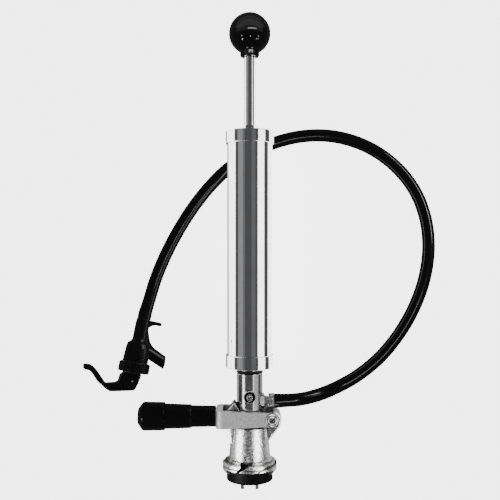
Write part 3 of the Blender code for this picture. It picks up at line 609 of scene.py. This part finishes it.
def add_body_seal(looks):
    seal = [(19.5, 14.0, 0.3), (19.5, 3.6, 1.4), (15.0, 3.4, 0.5), (14.6, 4.0, 0.3), (13.6, 4.0, 0.3),
            (13.2, 3.4, 0.3), (11.4, 3.4, 0.5), (11.4, 14.0)]
    finish(turned("body_seal_ring", seal, steps=128), "body_seal", "coupler",
           looks["rubber"])


# ---------------------------------------------------------------- lever and grip

def add_fork(looks):
    out, inside, tip = 16.5, 12.6, PIVOT[0] + 8.0
    plan = [(tip, out), (-28.3, out, 6.0), (-28.3, -out, 6.0), (tip, -out), (tip, -inside),
            (-22.8, -inside, 3.0), (-22.8, inside, 3.0), (tip, inside)]
    fork = prism("lever_fork_casting", plan, -12.0, 12.0, at(HANDLE, Matrix.Rotation(math.pi / 2, 4, "X")))
    side = [(-30.0, 63.6), (-30.0, 49.2), (-22.0, 49.2)]
    side += arc(PIVOT[0], PIVOT[1], 5.5, -95, 85, 32)
    side += [(-22.0, 63.6)]
    combine(fork, "INTERSECT", [prism("side", side, -20.0, 20.0)])
    cut(fork, rod("pivot_hole", 2.3, -20.0, 20.0, at(PIVOT)),
        rod("cam_hole", 2.55, -16.0, 16.0, at(HANDLE)),
        rod("stem_hole", 5.6, -32.0, -20.0, at(HANDLE, ALONG_X)))
    soften(fork, 0.7, 3)
    for flip in SIDES.values():
        ring = [(5.6, 18.0), (5.6, 15.6, 0.3), (5.0, 15.6, 0.3), (5.0, 18.0)]
        cut(fork, turned("groove", ring, at(PIVOT, Matrix.Rotation(flip, 4, "X")), steps=64))
    finish(fork, "lever_fork", "lever", looks["fork"])


def add_pins(looks):
    pin = [(0, 15.7), (2.25, 15.7, 0.4), (2.25, 8.9, 0.3), (0, 8.9)]
    screw = [(0, 18.4), (2.1, 17.65, 0.2), (2.3, 17.6), (2.65, 18.5, 0.1), (3.55, 18.1, 0.2),
             (3.6, 16.9), (4.15, 16.9), (4.2, 17.5, 0.1), (5.15, 17.1, 0.2), (5.15, 16.7),
             (2.0, 16.7), (2.0, 5.0, 0.4), (0, 5.0)]
    for name, flip in SIDES.items():
        turn = Matrix.Rotation(flip, 4, "X")
        finish(turned("cam_pin_%s_dowel" % name, pin, at(HANDLE, turn), False, 48), "cam_pin_" + name,
               "lever", looks["steel"])
        head = turned("pivot_screw_%s_head" % name, screw, at(PIVOT, turn), False, 64)
        arms = []
        for quarter in (45, 135):
            spin = Matrix.Rotation(math.radians(quarter), 4, "Z")
            arms.append(block("arm", (-2.0, -0.5, 16.9), (2.0, 0.5, 20.0), at(PIVOT, turn @ spin)))
        cut(head, *arms)
        soften(head, 0.12, 2)
        finish(head, "pivot_screw_" + name, "coupler", looks["screw"])


def add_grip(looks):
    place = at(HANDLE, ALONG_X)
    sleeve = [(8.75, -28.6, 0.6), (9.15, -49.3, 0.4), (9.95, -49.7, 0.4), (10.6, -71.5, 0.3), (7.0, -71.5),
              (7.0, -34.0), (5.6, -34.0), (5.6, -28.6)]
    finish(turned("grip_sleeve_moulding", sleeve, place), "grip_sleeve", "grip",
           looks["grip"])
    cap = [(0, -87.4), (3.3, -87.4), (3.3, -80.0), (7.3, -80.0), (7.3, -71.8), (11.8, -71.8, 0.4),
           (12.15, -90.2, 3.2), (6.6, -94.3, 2.0), (0, -94.6)]
    finish(turned("grip_end_cap_moulding", cap, place, False), "grip_end_cap", "grip",
           looks["grip"])


# ---------------------------------------------------------------- faucet

def add_faucet_body(looks):
    profile = [(0, 45.0), (5.0, 45.0, 0.5), (5.0, 42.3), (5.9, 42.3, 0.5), (6.1, 38.0, 1.0),
               (6.3, 24.5, 1.5), (7.3, 22.4, 0.8), (9.6, 20.6, 1.6), (10.3, 17.0, 2.0), (11.05, 4.9, 0.2),
               (10.2, 4.9), (10.2, -1.0), (0, -1.0)]
    body = turned("faucet_body_moulding", profile, closed=False)
    spout_way = at((25.0, 8.3, 0)) @ Matrix.Rotation(math.radians(-23.0), 4, "Z") @ ALONG_X
    spout = rod("spout", 5.3, -20.0, 4.0, spout_way, 64)
    web = [(5.0, 33.5), (6.6, 31.0, 3.0), (7.9, 26.5, 4.0), (9.3, 23.7, 4.0), (11.5, 21.0, 4.0),
           (14.2, 18.9, 4.0), (19.0, 16.7, 4.0), (22.5, 14.9), (20.0, 9.5), (8.0, 12.0)]
    hook = [(4.5, 41.6), (14.0, 41.4, 1.0), (16.1, 40.8, 1.3), (16.0, 39.0, 1.3), (13.6, 38.8, 1.5),
            (11.6, 39.2, 2.0), (8.4, 38.0, 2.0), (5.0, 35.5)]
    catch = prism("hook", hook, -2.6, 2.6)
    swell(catch, 0.5)
    join(body, spout, prism("web", web, -2.6, 2.6), catch)
    cut(body, block("mouth_plane", (25.0, -10.0, -10.0), (40.0, 25.0, 10.0)),
        rod("chamber", 8.2, -2.0, 16.5), rod("inlet", 3.2, 10.0, 46.0),
        rod("spout_bore", 3.9, -18.0, 6.0, spout_way))
    soften(body, 0.5, 3)
    finish(body, "faucet_body", "pump", looks["faucet"], FAUCET)


def add_faucet_nut(looks):
    profile = [(12.6, 4.5, 0.5), (12.9, -4.2, 0.5), (2.6, -4.5), (2.6, -1.4), (10.5, -1.4), (10.5, 4.5)]
    nut = turned("faucet_nut_ring", profile)
    rib = [(11.4, -3.9), (13.4, -3.9, 0.5), (13.4, 3.8, 0.5), (11.4, 3.8)]
    ribs = []
    for i in range(12):
        ribs.append(prism("rib", rib, -1.1, 1.1, Matrix.Rotation(math.radians(30 * i), 4, "Y")))
    join(nut, *ribs)
    soften(nut, 0.35, 2)
    finish(nut, "faucet_nut", "pump", looks["faucet"], FAUCET)


def add_faucet_lever(looks):
    outline = [(-7.8, -4.9, 0.8), (6.2, -4.9, 0.8), (6.2, -6.1, 1.0), (5.3, -12.3, 3.0), (3.4, -18.0, 2.0),
               (2.4, -19.0, 1.0), (-14.5, -22.1, 4.0), (-17.8, -22.5, 3.0), (-20.3, -21.4, 3.0),
               (-23.8, -19.0, 3.0), (-27.9, -16.6, 3.0), (-31.7, -12.5, 3.0), (-34.8, -9.4, 3.0),
               (-38.1, -8.0, 3.0), (-41.8, -7.7, 0.9), (-42.6, -3.9, 0.9), (-37.4, -3.4, 3.0),
               (-35.4, -4.2, 2.0), (-31.1, -7.7, 4.0), (-22.8, -16.0, 2.5), (-21.0, -16.7, 2.0),
               (-13.5, -15.1, 2.0), (-10.9, -13.4, 2.0), (-10.3, -7.9, 2.0)]
    lever = prism("faucet_lever_moulding", outline, -5.2, 5.2)
    swell(lever, 0.4)
    cut(lever, block("slot", (-4.6, -17.0, -2.6), (4.4, 0.0, 2.6)),
        rod("pin_hole", 0.9, -7.0, 7.0, at((0, -11.5, 0)), 24))
    soften(lever, 1.1, 4)
    finish(lever, "faucet_lever", "faucet_lever", looks["faucet"], FAUCET)


# ---------------------------------------------------------------- hose

def smooth_route(points, spacing):
    """Points at an even spacing on a smooth curve through the route's own points."""
    ends = [2 * points[0] - points[1]] + points + [2 * points[-1] - points[-2]]
    fine = []
    for a, b, c, d in zip(ends, ends[1:], ends[2:], ends[3:]):
        for i in range(20):
            t = i / 20
            fine.append(0.5 * (2 * b + (c - a) * t + (2 * a - 5 * b + 4 * c - d) * t ** 2
                               + (3 * b - a - 3 * c + d) * t ** 3))
    fine.append(points[-1])
    length = sum((q - p).length for p, q in zip(fine, fine[1:]))
    count = round(length / spacing)
    step = length / count
    even, run, wanted = [fine[0]], 0.0, step
    for p, q in zip(fine, fine[1:]):
        piece = (q - p).length
        while run + piece >= wanted and len(even) < count:
            even.append(p.lerp(q, (wanted - run) / piece))
            wanted += step
        run += piece
    even.append(fine[-1])
    return even


def add_hose(looks):
    """One open spline, slightly stretched where its ends are pushed over the barbs."""
    route = [Vector((x, y, TABLE_Z + height)) for x, y, height in HOSE_ROUTE]
    points = route[:1] + smooth_route(route[1:-1], 3.0) + route[-1:]
    curve = bpy.data.curves.new("beer_hose_skin", "CURVE")
    curve.dimensions = "3D"
    curve.bevel_depth = HOSE_R * MM
    curve.bevel_resolution = 12
    curve.use_fill_caps = True
    spline = curve.splines.new("POLY")
    spline.points.add(len(points) - 1)
    last = len(points) - 1
    flare = {0: 1.08, 1: 1.06, 2: 1.03, last: 1.06, last - 1: 1.05, last - 2: 1.02}
    for i, (point, place) in enumerate(zip(spline.points, points)):
        point.co = (*(place * MM), 1.0)
        point.radius = flare.get(i, 1.0)
    spline.use_smooth = True
    hose = bpy.data.objects.new("beer_hose_skin", curve)
    bpy.context.scene.collection.objects.link(hose)
    curve.materials.append(looks["hose"])
    sort_piece(hose, looks["hose"])
    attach(hose, "pump")
    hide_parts("beer_hose")


# ---------------------------------------------------------------- carried-over nodes

def dress_nodes(looks):
    """Better materials for the CAD nodes that stay."""
    kept = {
        "steel": "piston_top_washer piston_bottom_washer piston_nut beer_check_ball relief_spring "
                 "handle_stem grip_spring latch_pin faucet_pin faucet_spring",
        "rubber": "piston_cup check_valve faucet_seal",
        "brass": "base_nipple",
        "faucet": "faucet_stem",
    }
    for look, names in kept.items():
        for name in names.split():
            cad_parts[name].material_slots[0].material = looks[look]
            sort_piece(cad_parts[name], looks[look])


# ---------------------------------------------------------------- camera, stage and light

def add_camera():
    camera = bpy.data.cameras.new("camera")
    camera.lens = 54.0
    camera.sensor_width = 36.0
    camera.clip_end = 20.0
    holder = bpy.data.objects.new("camera", camera)
    bpy.context.scene.collection.objects.link(holder)
    holder.location = PUMP @ (CAMERA_AT * MM)
    holder.rotation_euler = (TILT, 0, 0)
    bpy.context.scene.camera = holder


def glow(name, strength, diffuse=0.0):
    """A material that shines by itself, and reflects as much as diffuse says."""
    made = bpy.data.materials.new(name)
    made.use_nodes = True
    shader = made.node_tree.nodes["Principled BSDF"]
    shader.inputs["Base Color"].default_value = (diffuse, diffuse, diffuse, 1.0)
    shader.inputs["Roughness"].default_value = 0.9
    shader.inputs["Specular IOR Level"].default_value = 0.0
    shader.inputs["Emission Color"].default_value = (1.0, 1.0, 1.0, 1.0)
    shader.inputs["Emission Strength"].default_value = strength
    return made


def add_floor():
    """A pale floor, left out of the reflections: the lights along it stand for it there.

    It also reflects the lights, so it shines by itself a little less than the backdrop.
    """
    level = TABLE_Z * MM - 0.0002
    mesh = bpy.data.meshes.new("floor")
    mesh.from_pydata([(-4, -4, level), (4, -4, level), (4, 4, level), (-4, 4, level)], [], [(0, 1, 2, 3)])
    mesh.materials.append(glow("floor_white", 4.5, diffuse=0.8))
    floor = bpy.data.objects.new("floor", mesh)
    bpy.context.scene.collection.objects.link(floor)
    floor.visible_glossy = False
    floor.visible_diffuse = False


def add_backdrop():
    """A pale dome that only the camera sees, so that every view has a plain background."""
    bpy.ops.mesh.primitive_uv_sphere_add(segments=48, ring_count=24, radius=3.4, location=(0, 0.2, 0))
    dome = bpy.context.object
    dome.name = "backdrop"
    dome.data.shade_smooth()
    dome.data.materials.append(glow("backdrop_pale", 5.0))
    for ray in ("visible_diffuse", "visible_glossy", "visible_transmission", "visible_shadow",
                "visible_volume_scatter"):
        setattr(dome, ray, False)


def add_panel(name, place, width, length, radiance, group):
    """A soft rectangular light that shines on one group of pieces, along its own -Z."""
    light = bpy.data.lights.new(name, "AREA")
    light.shape = "RECTANGLE"
    light.size = width
    light.size_y = length
    light.energy = radiance * math.pi * width * length
    holder = bpy.data.objects.new(name, light)
    bpy.context.scene.collection.objects.link(holder)
    holder.matrix_world = place
    holder.visible_camera = False
    holder.light_linking.receiver_collection = GROUPS[group]


def add_card(name, group, start, end, radiance, near=-0.9, far=1.3, distance=0.7):
    """A panel beside the pump between two angles from straight up; near and far are along the pump."""
    turn = Matrix.Rotation(math.radians((start + end) / 2), 4, "Y")
    place = PUMP @ turn @ Matrix.Translation((0, (near + far) / 2, distance))
    width = 2 * distance * math.tan(math.radians((end - start) / 2))
    add_panel(name, place, width, far - near, radiance, group)


def add_strip(name, start, end, width, radiance, group):
    """A narrow panel over the pump, between two points of its frame, that shines straight down."""
    run = Vector(end) - Vector(start)
    middle = (Vector(start) + Vector(end)) / 2
    turn = Matrix.Rotation(math.atan2(run.y, run.x), 4, "Z")
    add_panel(name, PUMP @ Matrix.Translation((*middle, 0.7)) @ turn, run.length, width, radiance, group)


def add_floor_light(name, group, low, high, radiance):
    """A panel that lies on the floor and shines up."""
    middle = ((low + high) / 2, 0, TABLE_Z * MM - 0.0001)
    place = Matrix.Translation(middle) @ Matrix.Rotation(math.pi, 4, "Y")
    add_panel(name, place, high - low, 8.0, radiance, group)


def light_polished():
    """The chrome tube, caps and rod: wide bright stripes at the sides, faint ones in the middle."""
    add_floor_light("floor_left", "polished", -4.0, -0.055, 5.0)
    add_floor_light("floor_left_near", "polished", -0.055, -0.03, 0.7)
    add_floor_light("floor_right", "polished", 0.02, 0.15, 5.0)
    tube_end = 0.42
    add_card("card_right", "polished", 41.5, 77.5, 5.0, far=tube_end)
    add_card("card_left_low", "polished", -90.0, -77.5, 5.0, far=tube_end)
    add_card("card_left_fade", "polished", -77.5, -73.5, 0.3, far=tube_end)
    add_card("card_left", "polished", -60.0, -34.0, 0.26, far=tube_end)
    add_card("card_left_edge", "polished", -34.0, -24.0, 0.10, far=tube_end)
    add_card("card_middle", "polished", 9.0, 28.5, 0.07, far=tube_end)
    add_card("rod_right", "polished", 50.0, 62.0, 3.0, near=tube_end)
    add_card("rod_left_low", "polished", -90.0, -84.0, 4.0, near=tube_end)
    add_card("rod_left", "polished", -66.0, -30.0, 0.22, near=tube_end)


def light_plated():
    """The neck and the small turned parts: a bright stripe on each side of a dark middle."""
    add_floor_light("plated_floor_left", "plated", -0.075, -0.012, 0.35)
    add_floor_light("plated_floor_right", "plated", 0.02, 0.09, 0.40)
    add_card("plated_left", "plated", -66.0, -46.0, 3.0)
    add_card("plated_right", "plated", 31.0, 82.0, 0.5)
    add_card("plated_bright", "plated", 31.0, 39.0, 1.5)


def light_cast():
    """The cast coupler body: two broad bright bands."""
    add_floor_light("cast_floor_left", "cast", -4.0, -0.045, 0.5)
    add_floor_light("cast_floor_right", "cast", 0.02, 0.15, 0.8)
    add_card("cast_left", "cast", -80.0, -46.0, 8.0)
    add_card("cast_right", "cast", 29.0, 62.0, 8.0)


def light_valve():
    """The relief valve and the pivot screws: light from all four sides, so that their rims shine."""
    add_floor_light("valve_floor", "valve", -0.09, 0.09, 0.8)
    add_card("valve_left", "valve", -62.0, -44.0, 6.0)
    add_card("valve_right", "valve", 44.0, 62.0, 6.0)
    add_card("valve_far", "valve", -25.0, 25.0, 6.0, near=0.35)
    add_card("valve_near", "valve", -25.0, 25.0, 6.0, near=-1.6, far=-0.75)


def light_blasted():
    """The blasted fork: an even grey."""
    add_floor_light("blasted_floor", "blasted", -0.6, 0.6, 0.6)
    add_card("blasted_left", "blasted", -74.0, -30.0, 2.2)
    add_card("blasted_right", "blasted", 30.0, 80.0, 2.0)
    add_card("blasted_front", "blasted", -16.0, 16.0, 0.4, near=-0.5, far=0.2)


def light_knob():
    """The glossy ball: a bright bar, a faint glow at its top and six small lamps."""
    add_card("knob_streak", "knob", -10.0, 37.0, 12.0, near=0.535, far=0.575)
    add_card("knob_far", "knob", -76.0, 76.0, 0.25, near=0.44, far=2.0)
    wall = Matrix.Translation((0, 2.0, 1.4)) @ Matrix.Rotation(-math.pi / 2, 4, "X")
    add_panel("knob_wall", wall, 8.0, 3.0, 0.25, "knob")
    lamp = 60.0
    add_card("knob_right", "knob", 51.5, 53.5, lamp, near=0.09, far=0.12)
    add_card("knob_left", "knob", -48.5, -46.5, lamp, near=0.10, far=0.13)
    add_card("knob_left_low", "knob", -53.0, -49.0, lamp, near=-0.18, far=-0.13)
    add_card("knob_right_low", "knob", 46.5, 49.5, lamp, near=-0.17, far=-0.13)
    add_card("knob_right_edge", "knob", 58.8, 60.8, lamp, near=-0.10, far=-0.07)
    add_card("knob_middle", "knob", 4.0, 6.0, lamp, near=-0.02, far=0.01)


def light_black():
    """The grip, the seals, the faucet and the hose: thin glints. The strips follow the hose's bend."""
    add_card("black_right", "black", 60.5, 64.0, 20.0, near=0.25, far=0.9)
    add_card("hose_right", "hose", 60.5, 64.0, 20.0, near=0.25, far=0.9)
    add_strip("hose_low", (0.115, -0.115), (0.32, -0.05), 0.05, 10.0, "hose")
    add_strip("hose_side", (0.32, -0.05), (0.42, 0.13), 0.05, 10.0, "hose")
    add_card("black_left", "black", -60.0, -40.0, 12.0, near=-0.16, far=-0.05)


def add_world():
    world = bpy.data.worlds.new("studio")
    bpy.context.scene.world = world
    world.use_nodes = True
    background = world.node_tree.nodes["Background"]
    background.inputs["Color"].default_value = (1.0, 1.0, 1.0, 1.0)
    background.inputs["Strength"].default_value = 0.10


def build():
    looks = make_looks()
    add_camera()
    add_knob(looks)
    add_rod(looks)
    add_bushing(looks)
    add_caps(looks)
    add_base(looks)
    add_probe(looks)
    add_tip(looks)
    add_relief(looks)
    add_outlet(looks)
    add_coupler_body(looks)
    add_body_seal(looks)
    add_fork(looks)
    add_pins(looks)
    add_grip(looks)
    add_faucet_body(looks)
    add_faucet_nut(looks)
    add_faucet_lever(looks)
    add_hose(looks)
    dress_nodes(looks)
    add_floor()
    add_backdrop()
    light_polished()
    light_plated()
    light_cast()
    light_valve()
    light_blasted()
    light_knob()
    light_black()
    add_world()


build()
